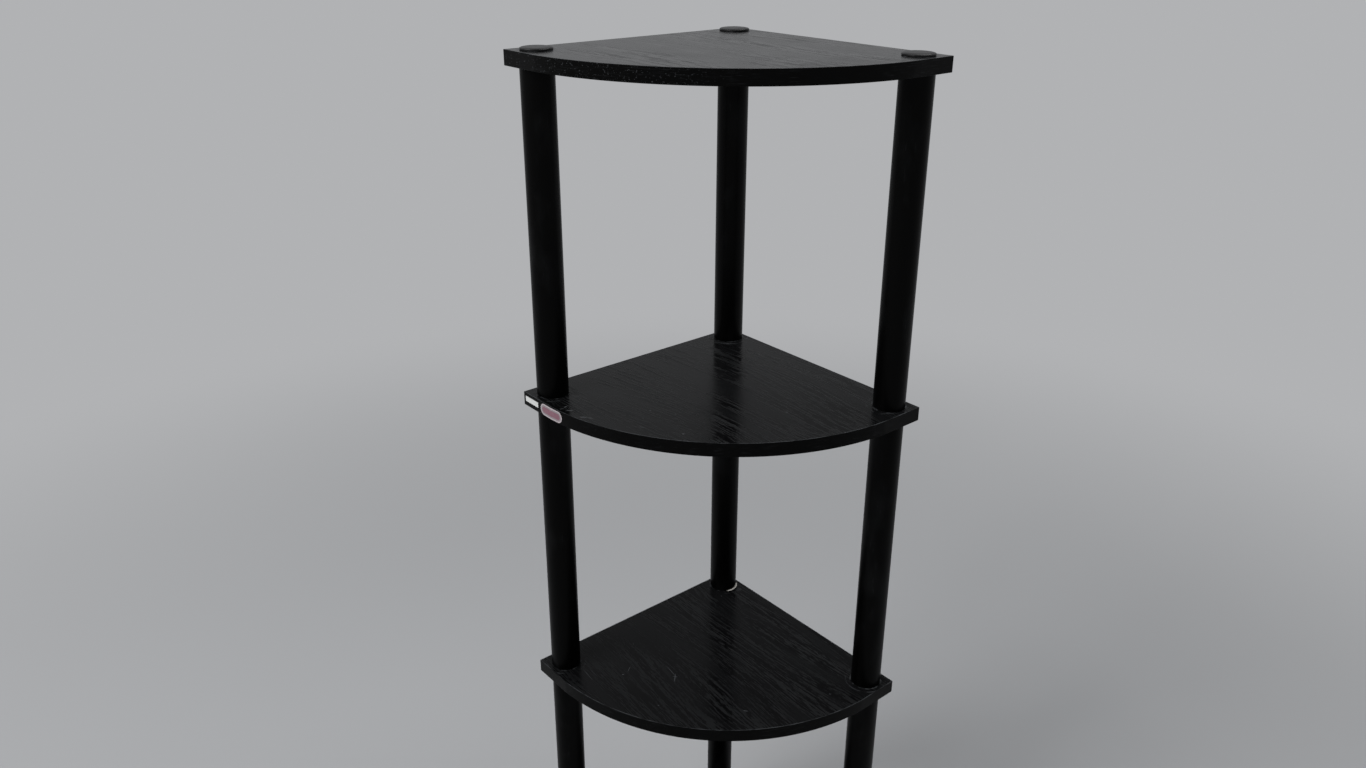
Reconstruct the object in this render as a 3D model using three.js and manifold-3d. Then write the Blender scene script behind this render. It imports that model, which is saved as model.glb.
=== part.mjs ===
// Corner shelf unit: four quarter-round shelves on three columns of screw-together tubes.
// Each tube has a threaded stud at its foot and a threaded socket at its head. The stud goes down
// through the shelf into the tube or foot below, so each shelf is clamped between two of them.
// Millimetres, +Z up. The curved front faces -Y and the corner of the room is at +Y.
// The origin lies on the floor, under the middle of the unit's width and depth.

import * as THREE from 'three';
import { mergeVertices } from 'three/addons/utils/BufferGeometryUtils.js';
import Module from 'manifold-3d';

const wasm = await Module();
wasm.setup();

// Shelf boards, seen from above
const WALL_SIDE = 297; // straight side, from the back corner to a front tip
const FACET = 52; // short straight front at each tip, square to the straight side
const FRONT_BULGE = 66.5; // the curved front's middle ahead of the facets' inner ends
const BOARD_THICKNESS = 15;
const BAND_THICKNESS = 1; // plastic strip glued round the board's edge
const ARC_STEPS = 28;
const DECK_FACET_SHARES = [
  [0, 0.29],
  [-0.66, 0.83],
  [0.66, 0.83],
]; // corners of the one large flat facet in a board's middle: share of half width, share of depth

// Stack
const SHELF_NAMES = ['bottom', 'lower', 'upper', 'top'];
const BAY_NAMES = ['bottom', 'middle', 'top'];
const TUBE_LENGTH = 340; // clear height between two shelves
const FOOT_HEIGHT = 25;

// Column places
const FRONT_POST_FROM_WALL = 22; // column axis to the straight side
const FRONT_POST_FROM_FACET = 23; // column axis to the line of the facet
const BACK_POST_FROM_WALLS = 19.5; // column axis to each of the two straight sides

// Tubes
const TUBE_RADIUS = 17;
const TUBE_WALL = 2;
const TUBE_SIDES = 32;
const BORE_SIDES = 16;

// Moulded inserts in the tube ends
const INSERT_CLEARANCE = 0.25; // insert to tube bore, all round
const PLUG_HOLLOW_RADIUS = 10;
const PLUG_FLOOR = 3;

// Screw threads
const SHANK_RADIUS = 8.8;
const THREAD_CORE_RADIUS = 7.3;
const THREAD_CREST_RADIUS = 9;
const THREAD_PITCH = 6;
const THREAD_TURNS = 1.5;
const THREAD_ROOT_WIDTH = 3;
const THREAD_CREST_WIDTH = 1.2;
const THREAD_CLEARANCE = 0.35;
const THREAD_STEPS = 12; // steps in one turn
const THREAD_START_ANGLE = Math.PI / 48; // keeps the steps off the corners of the turned bodies
const STUD_ENGAGEMENT = 12; // depth of a stud in its socket
const STUD_END_ROOM = 2; // socket depth past the stud's tip
const STUD_TIP_CHAMFER = 1.2;
const HOLE_CLEARANCE = 0.6; // thread crest to the hole in the board
const OVERRUN = 0.5; // how far one joined or cutting body runs past the face that it meets

// Caps on the top shelf
const CAP_RADIUS = 16;
const CAP_RIM_HEIGHT = 1.6;
const CAP_HEIGHT = 3;
const CAP_DOME_SHARES = [
  [0.94, 0.5],
  [0.7, 0.84],
  [0.35, 0.97],
  [0, 1],
]; // share of the cap's radius, share of the rise from rim to crown

// Feet
const FOOT_CHAMFER = 1.5;

// Labels stuck on the left end of the upper shelf's front edge
const LABEL_THICKNESS = 0.2;
const LABEL_ADHESIVE = 0.1;
const STRIP_LENGTH = 24;
const STRIP_HEIGHT = 6;
const STRIP_FROM_TIP = 4;
const STRIP_LIFT = 0.9; // strip's middle above the edge's middle
const PILL_LENGTH = 37;
const PILL_HEIGHT = 13;
const PILL_FROM_TIP = 33;
const PILL_END_STEPS = 5;
const PILL_MIDDLE_STEPS = 8;

// Finishes
const LAMINATE = { color: 0x1b1a1b, roughness: 0.45, metalness: 0 };
const BAND_PLASTIC = { color: 0x141314, roughness: 0.4, metalness: 0 };
const TUBE_PLASTIC = { color: 0x101011, roughness: 0.35, metalness: 0 };
const MOULDED_PLASTIC = { color: 0x1d1e20, roughness: 0.5, metalness: 0 };
const WHITE_PAPER = { color: 0xe8e8e4, roughness: 0.8, metalness: 0 };
const SILVER_PAPER = { color: 0xc9bfc2, roughness: 0.5, metalness: 0 };

// Sizes that follow from the ones above
const DIAGONAL = Math.SQRT1_2; // the straight sides run at 45 degrees to X and Y
const HALF_WIDTH = DIAGONAL * WALL_SIDE;
const CHORD_HALF = DIAGONAL * (WALL_SIDE - FACET);
const SHELF_DEPTH = DIAGONAL * (WALL_SIDE + FACET) + FRONT_BULGE;
const FRONT_RADIUS = (CHORD_HALF ** 2 + FRONT_BULGE ** 2) / (2 * FRONT_BULGE);
const FRONT_CENTRE_DEPTH = SHELF_DEPTH - FRONT_RADIUS;
const SHELF_PITCH = TUBE_LENGTH + BOARD_THICKNESS;
const SOCKET_DEPTH = STUD_ENGAGEMENT + STUD_END_ROOM;
const STUD_LENGTH = BOARD_THICKNESS + STUD_ENGAGEMENT;
const INSERT_RADIUS = TUBE_RADIUS - TUBE_WALL - INSERT_CLEARANCE;
const THREAD_START = STUD_TIP_CHAMFER + THREAD_ROOT_WIDTH / 2 - STUD_LENGTH;
const THREAD_END = THREAD_START + THREAD_PITCH * THREAD_TURNS + THREAD_ROOT_WIDTH / 2;

// A place on the shelf from its distance along a straight side and its distance in from it.
// The side is -1 for the left one and 1 for the right one, and the back corner is at 0, 0.
function fromWall(side, along, inward) {
  return new THREE.Vector2(side * DIAGONAL * (along - inward), -DIAGONAL * (along + inward));
}

const POSTS = {
  left: fromWall(-1, WALL_SIDE - FRONT_POST_FROM_FACET, FRONT_POST_FROM_WALL),
  right: fromWall(1, WALL_SIDE - FRONT_POST_FROM_FACET, FRONT_POST_FROM_WALL),
  back: fromWall(1, BACK_POST_FROM_WALLS, BACK_POST_FROM_WALLS),
};

// A place on the curved front's circle, grown by outward, at an angle from the middle of the front
function onFront(angle, outward) {
  const radius = FRONT_RADIUS + outward;
  return new THREE.Vector2(
    radius * Math.sin(angle),
    -FRONT_CENTRE_DEPTH - radius * Math.cos(angle),
  );
}

// Half the angle of the curved front, where it meets the facets of an outline grown by outward
function frontHalfAngle(outward) {
  const centreInward = DIAGONAL * FRONT_CENTRE_DEPTH;
  const toFacet = WALL_SIDE + outward - centreInward;
  const lean = Math.acos(toFacet / (FRONT_RADIUS + outward));
  return Math.PI / 4 - Math.sign(FACET - centreInward) * lean;
}

// The shelf's outline, grown by outward, anticlockwise from the back corner
function shelfOutline(outward) {
  const along = WALL_SIDE + outward;
  const halfAngle = frontHalfAngle(outward);
  const points = [fromWall(-1, -outward, -outward), fromWall(-1, along, -outward)];
  for (let step = 0; step <= ARC_STEPS; step += 1) {
    points.push(onFront(halfAngle * ((2 * step) / ARC_STEPS - 1), outward));
  }
  points.push(fromWall(1, along, -outward));
  return points;
}

function circlePoints(centre, radius, sides) {
  return Array.from({ length: sides }, (_, index) => {
    const angle = (2 * Math.PI * index) / sides;
    return new THREE.Vector2(
      centre.x + radius * Math.cos(angle),
      centre.y + radius * Math.sin(angle),
    );
  });
}

function indexedGeometry(positions, triangles) {
  const geometry = new THREE.BufferGeometry();
  geometry.setAttribute('position', new THREE.Float32BufferAttribute(positions, 3));
  geometry.setIndex(triangles);
  geometry.computeVertexNormals();
  return geometry;
}

// An upright plate on height 0 with holes through it. The outline runs anticlockwise and the holes
// run clockwise. A facet is a triangle that stays whole in the top and the bottom face.
function plate(outline, holes, facets, thickness) {
  const inner = [...holes, ...facets];
  const points = [outline, ...inner].flat();
  const floor = THREE.ShapeUtils.triangulateShape(outline, inner);
  let start = outline.length + holes.flat().length;
  for (const facet of facets) {
    floor.push([start, start + 1, start + 2]);
    start += facet.length;
  }
  const positions = [0, thickness].flatMap((height) =>
    points.flatMap((point) => [point.x, point.y, height]),
  );
  const lid = points.length;
  const triangles = floor.flatMap(([a, b, c]) => [a, c, b, lid + a, lid + b, lid + c]);
  start = 0;
  for (const ring of [outline, ...holes]) {
    for (let corner = 0; corner < ring.length; corner += 1) {
      const here = start + corner;
      const next = start + ((corner + 1) % ring.length);
      triangles.push(here, next, lid + next, here, lid + next, lid + here);
    }
    start += ring.length;
  }
  return indexedGeometry(positions, triangles);
}

// A turned body about the Z axis from pairs of radius and height
function turned(profile, sides) {
  const points = profile.map(([radius, height]) => new THREE.Vector2(radius, height));
  return new THREE.LatheGeometry(points, sides).rotateX(Math.PI / 2);
}

// A closed body through rings that all have the same number of corners. Seen from the first ring
// towards the last, the corners run clockwise.
function loft(rings) {
  const corners = rings[0].length;
  const triangles = [];
  for (let ring = 0; ring + 1 < rings.length; ring += 1) {
    for (let corner = 0; corner < corners; corner += 1) {
      const a = ring * corners + corner;
      const b = ring * corners + ((corner + 1) % corners);
      triangles.push(a, b, a + corners, b, b + corners, a + corners);
    }
  }
  const last = (rings.length - 1) * corners;
  for (let corner = 1; corner + 1 < corners; corner += 1) {
    triangles.push(0, corner + 1, corner);
    triangles.push(last, last + corner, last + corner + 1);
  }
  return indexedGeometry(rings.flat().flatMap((point) => point.toArray()), triangles);
}

function toSolid(geometry) {
  const bare = new THREE.BufferGeometry();
  bare.setAttribute('position', geometry.getAttribute('position'));
  bare.setIndex(geometry.getIndex());
  const merged = mergeVertices(bare);
  const mesh = new wasm.Mesh({
    numProp: 3,
    vertProperties: new Float32Array(merged.getAttribute('position').array),
    triVerts: new Uint32Array(merged.getIndex().array),
  });
  return new wasm.Manifold(mesh);
}

function toGeometry(solid) {
  const mesh = solid.getMesh();
  return indexedGeometry(mesh.vertProperties, Array.from(mesh.triVerts));
}

// The helical ridge of the thread, below a shoulder at height 0, grown all round by a clearance
function threadRidge(clearance) {
  const root = THREAD_CORE_RADIUS - OVERRUN;
  const crest = THREAD_CREST_RADIUS + clearance;
  const rootHalf = THREAD_ROOT_WIDTH / 2 + clearance;
  const crestHalf = THREAD_CREST_WIDTH / 2 + clearance;
  const section = [
    [root, -rootHalf],
    [root, rootHalf],
    [crest, crestHalf],
    [crest, -crestHalf],
  ];
  const rings = [];
  for (let step = 0; step <= THREAD_TURNS * THREAD_STEPS; step += 1) {
    const turn = step / THREAD_STEPS;
    const angle = THREAD_START_ANGLE + 2 * Math.PI * turn;
    const climb = THREAD_START + THREAD_PITCH * turn;
    rings.push(
      section.map(
        ([radius, height]) =>
          new THREE.Vector3(radius * Math.cos(angle), radius * Math.sin(angle), climb + height),
      ),
    );
  }
  return toSolid(loft(rings));
}

// A threaded stud below a shoulder at height 0, and above it the body that the profile gives
function studGeometry(upperProfile) {
  const profile = [
    [0, -STUD_LENGTH],
    [THREAD_CORE_RADIUS - STUD_TIP_CHAMFER, -STUD_LENGTH],
    [THREAD_CORE_RADIUS, STUD_TIP_CHAMFER - STUD_LENGTH],
    [THREAD_CORE_RADIUS, THREAD_END],
    [SHANK_RADIUS, THREAD_END + SHANK_RADIUS - THREAD_CORE_RADIUS],
    [SHANK_RADIUS, 0],
    ...upperProfile,
  ];
  return toGeometry(toSolid(turned(profile, BORE_SIDES)).add(threadRidge(0)));
}

// The threaded hole that takes a stud, cut in a body whose top face is at height 0
function withSocket(geometry, depth) {
  const radius = THREAD_CORE_RADIUS + THREAD_CLEARANCE;
  const bore = [
    [0, -depth],
    [radius, -depth],
    [radius, OVERRUN],
    [0, OVERRUN],
  ];
  const ridge = threadRidge(THREAD_CLEARANCE).translate([0, 0, BOARD_THICKNESS]);
  const cutter = toSolid(turned(bore, BORE_SIDES)).add(ridge);
  return toGeometry(toSolid(geometry).subtract(cutter));
}

function shelfBoard() {
  const radius = THREAD_CREST_RADIUS + HOLE_CLEARANCE;
  const holes = Object.values(POSTS).map((post) => circlePoints(post, radius, BORE_SIDES).reverse());
  const facet = DECK_FACET_SHARES.map(
    ([across, down]) => new THREE.Vector2(across * HALF_WIDTH, -down * SHELF_DEPTH),
  );
  return plate(shelfOutline(-BAND_THICKNESS), holes, [facet], BOARD_THICKNESS);
}

function edgeBand() {
  const inner = shelfOutline(-BAND_THICKNESS).reverse();
  return plate(shelfOutline(0), [inner], [], BOARD_THICKNESS);
}

function tube() {
  const axis = new THREE.Vector2();
  const bore = circlePoints(axis, TUBE_RADIUS - TUBE_WALL, BORE_SIDES).reverse();
  return plate(circlePoints(axis, TUBE_RADIUS, TUBE_SIDES), [bore], [], TUBE_LENGTH);
}

function tubeStud() {
  return studGeometry([
    [INSERT_RADIUS, 0],
    [INSERT_RADIUS, SOCKET_DEPTH],
    [PLUG_HOLLOW_RADIUS, SOCKET_DEPTH],
    [PLUG_HOLLOW_RADIUS, PLUG_FLOOR],
    [0, PLUG_FLOOR],
  ]);
}

function tubeSocket() {
  const body = [
    [0, -SOCKET_DEPTH],
    [INSERT_RADIUS, -SOCKET_DEPTH],
    [INSERT_RADIUS, 0],
    [0, 0],
  ];
  return withSocket(turned(body, BORE_SIDES), SOCKET_DEPTH + OVERRUN);
}

function cap() {
  const rise = CAP_HEIGHT - CAP_RIM_HEIGHT;
  const dome = CAP_DOME_SHARES.map(([across, up]) => [
    CAP_RADIUS * across,
    CAP_RIM_HEIGHT + rise * up,
  ]);
  return studGeometry([[CAP_RADIUS, 0], [CAP_RADIUS, CAP_RIM_HEIGHT], ...dome]);
}

function foot() {
  const body = [
    [0, -FOOT_HEIGHT],
    [TUBE_RADIUS - FOOT_CHAMFER, -FOOT_HEIGHT],
    [TUBE_RADIUS, FOOT_CHAMFER - FOOT_HEIGHT],
    [TUBE_RADIUS, 0],
    [0, 0],
  ];
  return withSocket(turned(body, TUBE_SIDES), SOCKET_DEPTH);
}

// A place on the left front edge, at a distance along it from the tip
function onLeftEdge(distance, outward) {
  const beyondFacet = distance - FACET;
  if (beyondFacet <= 0) {
    return fromWall(-1, WALL_SIDE + outward, distance);
  }
  return onFront(beyondFacet / FRONT_RADIUS - frontHalfAngle(0), outward);
}

// A thin label bent along the left front edge, from columns of distance, half height
function edgeLabel(columns, middle) {
  const rings = columns.map(([distance, halfHeight]) => {
    const inner = onLeftEdge(distance, LABEL_ADHESIVE);
    const outer = onLeftEdge(distance, LABEL_ADHESIVE + LABEL_THICKNESS);
    return [
      new THREE.Vector3(inner.x, inner.y, middle - halfHeight),
      new THREE.Vector3(inner.x, inner.y, middle + halfHeight),
      new THREE.Vector3(outer.x, outer.y, middle + halfHeight),
      new THREE.Vector3(outer.x, outer.y, middle - halfHeight),
    ];
  });
  return loft(rings);
}

function stripLabel() {
  const columns = [STRIP_FROM_TIP, STRIP_FROM_TIP + STRIP_LENGTH].map((distance) => [
    distance,
    STRIP_HEIGHT / 2,
  ]);
  return edgeLabel(columns, BOARD_THICKNESS / 2 + STRIP_LIFT);
}

function pillLabel() {
  const radius = PILL_HEIGHT / 2;
  const columns = [];
  for (let step = 1; step <= PILL_END_STEPS; step += 1) {
    const angle = (Math.PI / 2) * (step / PILL_END_STEPS);
    columns.push([PILL_FROM_TIP + radius * (1 - Math.cos(angle)), radius * Math.sin(angle)]);
  }
  const middleLength = PILL_LENGTH - PILL_HEIGHT;
  for (let step = 1; step < PILL_MIDDLE_STEPS; step += 1) {
    const along = middleLength * (step / PILL_MIDDLE_STEPS);
    columns.push([PILL_FROM_TIP + radius + along, radius]);
  }
  const far = columns.slice(0, PILL_END_STEPS).reverse();
  for (const [distance, halfHeight] of far) {
    columns.push([2 * PILL_FROM_TIP + PILL_LENGTH - distance, halfHeight]);
  }
  return edgeLabel(columns, BOARD_THICKNESS / 2);
}

function shelfBottomHeight(level) {
  return FOOT_HEIGHT + level * SHELF_PITCH;
}

const unit = new THREE.Group();

function place(name, geometry, finish, x, y, z) {
  const mesh = new THREE.Mesh(geometry, new THREE.MeshStandardMaterial(finish));
  mesh.name = name;
  mesh.position.set(x, y, z);
  unit.add(mesh);
}

SHELF_NAMES.forEach((shelf, level) => {
  const height = shelfBottomHeight(level);
  place(`shelf_${shelf}`, shelfBoard(), LAMINATE, 0, 0, height);
  place(`edge_band_${shelf}`, edgeBand(), BAND_PLASTIC, 0, 0, height);
});

for (const [side, post] of Object.entries(POSTS)) {
  BAY_NAMES.forEach((bay, level) => {
    const head = shelfBottomHeight(level + 1);
    const base = head - TUBE_LENGTH;
    place(`tube_${bay}_${side}`, tube(), TUBE_PLASTIC, post.x, post.y, base);
    place(`tube_stud_${bay}_${side}`, tubeStud(), MOULDED_PLASTIC, post.x, post.y, base);
    place(`tube_socket_${bay}_${side}`, tubeSocket(), MOULDED_PLASTIC, post.x, post.y, head);
  });
  place(`foot_${side}`, foot(), MOULDED_PLASTIC, post.x, post.y, FOOT_HEIGHT);
  const topOfUnit = shelfBottomHeight(SHELF_NAMES.length - 1) + BOARD_THICKNESS;
  place(`cap_${side}`, cap(), MOULDED_PLASTIC, post.x, post.y, topOfUnit);
}

const labelledShelf = shelfBottomHeight(SHELF_NAMES.indexOf('upper'));
place('paper_strip_label', stripLabel(), WHITE_PAPER, 0, 0, labelledShelf);
place('pill_label', pillLabel(), SILVER_PAPER, 0, 0, labelledShelf);

unit.position.y = SHELF_DEPTH / 2;

export default unit;
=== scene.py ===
import math
from functools import partial

import bmesh
import bpy
from bpy.props import FloatProperty, FloatVectorProperty, IntProperty, PointerProperty
from mathutils import Matrix, Vector


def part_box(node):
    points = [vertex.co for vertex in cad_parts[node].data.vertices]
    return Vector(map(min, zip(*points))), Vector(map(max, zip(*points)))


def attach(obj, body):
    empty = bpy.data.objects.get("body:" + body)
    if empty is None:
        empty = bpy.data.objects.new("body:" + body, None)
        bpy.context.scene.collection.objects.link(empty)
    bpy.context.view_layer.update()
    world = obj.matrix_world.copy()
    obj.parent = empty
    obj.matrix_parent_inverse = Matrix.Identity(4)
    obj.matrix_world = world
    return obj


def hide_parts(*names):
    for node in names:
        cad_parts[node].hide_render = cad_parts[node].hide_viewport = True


bl_info = {
    "name": "Corner Shelf Unit",
    "version": (1, 0, 0),
    "blender": (4, 5, 0),
    "location": "View3D > Sidebar > Corner Shelf",
    "description": "Quarter-round wood-grain shelves on three columns of screw-together tubes",
    "category": "Add Mesh",
}

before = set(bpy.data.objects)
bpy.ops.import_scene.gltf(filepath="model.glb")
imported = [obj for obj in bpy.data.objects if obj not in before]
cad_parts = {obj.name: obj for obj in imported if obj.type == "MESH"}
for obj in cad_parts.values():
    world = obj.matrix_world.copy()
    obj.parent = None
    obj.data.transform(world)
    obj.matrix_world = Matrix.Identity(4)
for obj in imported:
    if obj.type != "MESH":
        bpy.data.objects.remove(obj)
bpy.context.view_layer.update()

BODY = "root"
MM = 0.001
TOUCH = 0.01 * MM  # how near counts as on a line or a circle
MERGE = 0.001 * MM  # how near makes two corners one
ALONGSIDE = 0.1  # a face whose normal leans less than this along a side runs along it
SHARP = math.radians(42)  # a fold that is sharper keeps its edge in the shading
SENSOR_WIDTH = 36  # millimetres
UP = Vector((0, 0, 1))
LEVELS = ("bottom", "lower", "upper", "top")
BAYS = ("bottom", "middle", "top")
SIDES = ("left", "right", "back")

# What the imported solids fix: the outline's corners, the columns' axes and the tubes' sizes
OUTLINE_LOW, OUTLINE_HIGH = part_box("edge_band_upper")
HALF_WIDTH = OUTLINE_HIGH.x
BACK_CORNER = Vector((0, OUTLINE_HIGH.y, 0))
LEFT_TIP = Vector((-HALF_WIDTH, OUTLINE_HIGH.y - HALF_WIDTH, 0))
RIGHT_TIP = Vector((HALF_WIDTH, OUTLINE_HIGH.y - HALF_WIDTH, 0))
DIAGONAL = math.sqrt(0.5)  # the straight sides run at 45 degrees to X and Y
ALONG_LEFT_FACET = Vector((DIAGONAL, -DIAGONAL, 0))
OFF_LEFT_FACET = Vector((-DIAGONAL, -DIAGONAL, 0))


def column_axis(side):
    low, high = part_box(f"tube_top_{side}")
    return Vector(((low.x + high.x) / 2, (low.y + high.y) / 2, 0))


COLUMNS = {side: column_axis(side) for side in SIDES}
TUBE_LOW, TUBE_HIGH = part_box("tube_top_back")
TUBE_RADIUS = (TUBE_HIGH.x - TUBE_LOW.x) / 2
CAP_LOW, CAP_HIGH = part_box("cap_back")
CAP_RADIUS = (CAP_HIGH.x - CAP_LOW.x) / 2
CAP_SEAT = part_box("shelf_top")[1].z
FOOT_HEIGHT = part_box("foot_back")[1].z

GRAIN_TURN = math.radians(44)  # turns the grain, which runs from back left to front right, onto X

# Painted highlight: a pale crescent round the right of the back column, on the lower board
CRESCENT_SHIFT = Vector((0.8 * MM, -0.5 * MM, 0))  # from the column's axis
CRESCENT_EDGE = 1.5 * MM  # past the tube's outside
CRESCENT_RAGGEDNESS = 1.4 * MM
CRESCENT_MIDDLE = -0.5  # direction from the axis, in radians from +X
CRESCENT_HALF_ANGLE = 0.8
CRESCENT_FADE = 0.3 * MM  # soft outer edge
CRESCENT_END_FADE = 0.18  # soft ends, in radians

# Rings that the tubes' ends rub on the boards, measured from the tube's outside
RUB_NEAR = 0.6 * MM
RUB_FAR = 2.2 * MM
OUTER_RUB = 6.4 * MM
OUTER_RUB_WIDTH = 0.9 * MM

SPECK_CELL = 17 * MM  # loose specks lie about this far apart, and most places have none
MARK_REACH = 4 * MM  # a mark shows this far above and below its board's face

# Marks on the boards: level, then millimetres to the right of the back corner and behind it,
# length, width, turn in degrees and strength
MARKS = [
    ("lower", -51, -216, 22, 0.9, -54, 0.5),
    ("lower", -45, -228, 16, 1.0, 90, 0.9),
    ("lower", -45, -226, 7, 0.9, 0, 0.7),
    ("lower", -107, -228, 2.6, 1.6, 20, 0.9),
    ("lower", -101, -217, 11, 0.8, 80, 0.6),
    ("lower", -59, -278, 2.2, 1.6, 0, 0.8),
    ("lower", 40, -278, 6, 1.2, -10, 0.8),
    ("lower", 136, -240, 3, 1.6, 0, 0.5),
    ("lower", -148, -232, 26, 0.8, -52, 0.45),
    ("lower", -142, -228, 20, 0.7, -48, 0.35),
    ("upper", -69, -245, 2.2, 1.6, 0, 0.7),
    ("upper", -42, -252, 2.0, 1.4, 0, 0.6),
    ("upper", -74, -264, 2.4, 1.4, 30, 0.6),
    ("upper", -73, -285, 9, 0.9, -20, 0.6),
    ("upper", -30, -296, 2.6, 1.8, 0, 1.0),
    ("upper", 72, -236, 2.6, 1.6, 0, 0.5),
    ("upper", -161, -250, 5, 1.8, 19, 0.7),
    ("upper", -158, -245, 4.5, 2.4, 64, 0.8),
    ("upper", -152, -253, 9, 1.8, 13, 1.0),
    ("upper", -135, -268, 9, 3.5, -12, 0.6),
    ("upper", -128, -269, 8, 4, -26, 0.3),
    ("upper", 0, -50, 28, 1.4, 0, 0.5),
    ("upper", 175, -229, 20, 1.2, 12, 0.5),
    ("lower", 22, -40, 9, 5, 35, 0.16),
    ("lower", 15, -46, 8, 3, 20, 0.12),
]


# Colours and values


def linear(hex_colour, alpha=1.0):
    """An sRGB hex colour as the linear values that the shaders and settings take."""
    shares = [((hex_colour >> shift) & 255) / 255 for shift in (16, 8, 0)]
    return [s / 12.92 if s <= 0.04045 else ((s + 0.055) / 1.055) ** 2.4 for s in shares] + [alpha]


def number(name, description, default, **limits):
    return FloatProperty(name=name, description=description, default=default, **limits)


def length(name, description, default):
    return number(name, description, default, min=0, precision=5, unit="LENGTH")


def steps(name, description, default):
    return IntProperty(name=name, description=description, default=default, min=3)


def position(name, description, default):
    return FloatVectorProperty(
        name=name, description=description, default=default, subtype="XYZ", unit="LENGTH"
    )


def colour(name, description, hex_colour):
    return FloatVectorProperty(
        name=name,
        description=description,
        default=linear(hex_colour),
        size=4,
        min=0,
        max=1,
        subtype="COLOR",
    )


class ShelfSizes(bpy.types.PropertyGroup):
    """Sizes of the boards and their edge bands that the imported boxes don't give"""

    facet: length("Facet", "Short straight front at each tip, square to the straight side", 0.052)
    band_thickness: length("Band thickness", "Plastic strip glued round the board", 0.001)
    band_rounding: length("Band rounding", "Scraped arris of the strip", 0.0003)
    band_fold: length("Band fold", "Rounding where the strip turns a corner", 0.0006)
    band_joint: length("Band joint", "Gap where the strip's two ends meet", 0.0003)
    band_joint_place: length("Band joint place", "Joint's distance from the back corner", 0.06)
    hole_radius: length("Hole radius", "Hole in the board that a stud passes", 0.0096)
    hole_steps: steps("Hole steps", "Steps round a hole", 48)
    front_steps: steps("Front steps", "Steps in the curved front", 96)


class ColumnSizes(bpy.types.PropertyGroup):
    """Sizes of the tubes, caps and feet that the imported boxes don't give"""

    wall: length("Tube wall", "Wall of the extruded tube", 0.002)
    end_rounding: length("End rounding", "Broken edge at a tube's end", 0.0006)
    cap_rim: length("Cap rim", "Height of a cap's upright rim", 0.0016)
    cap_rounding: length("Cap rounding", "Moulded edge round a cap", 0.0005)
    cap_roundness: number("Cap roundness", "0 for a flat top, 1 for an even dome", 0.35)
    cap_steps: steps("Cap steps", "Steps from a cap's rim to its crown", 12)
    foot_chamfer: length("Foot chamfer", "Moulded edge under a foot", 0.0015)
    socket_depth: length("Socket depth", "Threaded hole in the top of a foot", 0.014)
    stud_core: length("Stud core", "Radius at the root of the thread", 0.0073)
    stud_shank: length("Stud shank", "Radius of the plain shank", 0.0088)
    stud_chamfer: length("Stud chamfer", "Broken edge at a stud's tip", 0.0012)
    stud_engagement: length("Stud engagement", "Depth of a stud in its socket", 0.012)
    thread_crest: length("Thread crest", "Radius at the crest of the thread", 0.009)
    thread_root_width: length("Thread root width", "Width of the ridge at its root", 0.003)
    thread_crest_width: length("Thread crest width", "Width of the ridge at its crest", 0.0012)
    thread_let_in: length("Thread let in", "How far the ridge starts inside the core", 0.0005)
    thread_start: length("Thread start", "The ridge's middle above the stud's tip", 0.0027)
    thread_clearance: length("Thread clearance", "Crest to the socket's wall", 0.00035)
    thread_pitch: length("Thread pitch", "Rise of the thread in one turn", 0.006)
    thread_turns: number("Thread turns", "Turns of thread", 1.5)
    thread_steps: steps("Thread steps", "Steps in one turn of thread", 48)
    round_steps: steps("Round steps", "Steps round a tube", 128)


class LabelSizes(bpy.types.PropertyGroup):
    """Sizes of the two stickers on the upper shelf's left front edge"""

    thickness: length("Thickness", "Paper and adhesive", 0.0002)
    lift: length("Lift", "Adhesive under the paper", 0.0001)
    strip_from_tip: length("Strip from tip", "Start of the white strip", 0.004)
    strip_length: length("Strip length", "Length of the white strip", 0.024)
    pill_from_tip: length("Pill from tip", "Start of the round-ended sticker", 0.033)
    pill_length: length("Pill length", "Length of the round-ended sticker", 0.037)
    pill_rim: length("Pill rim", "Silver border of the round-ended sticker", 0.0013)
    pill_line: length("Pill line", "Grey band inside the silver border", 0.0018)
    corner: length("Corner", "Rounding of the white strip's corners", 0.0005)
    corner_steps: steps("Corner steps", "Steps round each of those corners", 16)
    round_steps: steps("Round steps", "Steps round the round-ended sticker", 48)
    bend_steps: steps("Bend steps", "Steps in which that sticker bends round the edge", 16)


class Finishes(bpy.types.PropertyGroup):
    """Colours of the finishes"""

    laminate: colour("Laminate", "Raised lines of the black foil on the boards", 0x1C1D1E)
    pore: colour("Pore", "Low lines of the black foil on the boards", 0x0C0C0D)
    dust: colour("Dust", "Dust and wax held in the texture of bands and fittings", 0x2A2B2D)
    # Chipboard-like colour of the painted highlight crescent by the back column on the lower board
    crescent_highlight: colour("Chipboard", "Bare board where the foil is chipped", 0xC8C5BF)
    band: colour("Edge band", "Black strip round the boards", 0x030303)
    tube: colour("Tube", "Black extruded tube", 0x020202)
    moulded: colour("Moulded plastic", "Black caps, feet and inserts", 0x0E0E0F)
    # Rubbed and dusty marks, and also the painted highlight along the edge bands' upper arris
    scuff_and_highlight: colour("Scuff", "Rubbed and dusty plastic", 0x55575A)
    paper: colour("Paper", "White sticker paper", 0xE6E7E6)
    worn_paper: colour("Worn paper", "Soft patches on the paper", 0xD9D9D4)
    silver: colour("Silver ink", "Border of the round-ended sticker", 0xC9BFC2)
    worn_silver: colour("Worn silver", "Soft patches on the border", 0xB3ABAE)
    pale_line: colour("Grey band", "Band inside the border", 0x938A8E)
    worn_line: colour("Worn grey", "Soft patches on the band", 0xA39B9F)
    rose: colour("Faded rose", "Field of the round-ended sticker", 0x8A5E6C)
    worn_rose: colour("Worn rose", "Soft patches on the field", 0x937880)
    floor: colour("Floor", "Studio floor and backdrop", 0xB7B8BA)
    daylight: colour("Daylight", "Soft light from all round", 0xF4F7FA)


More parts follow.
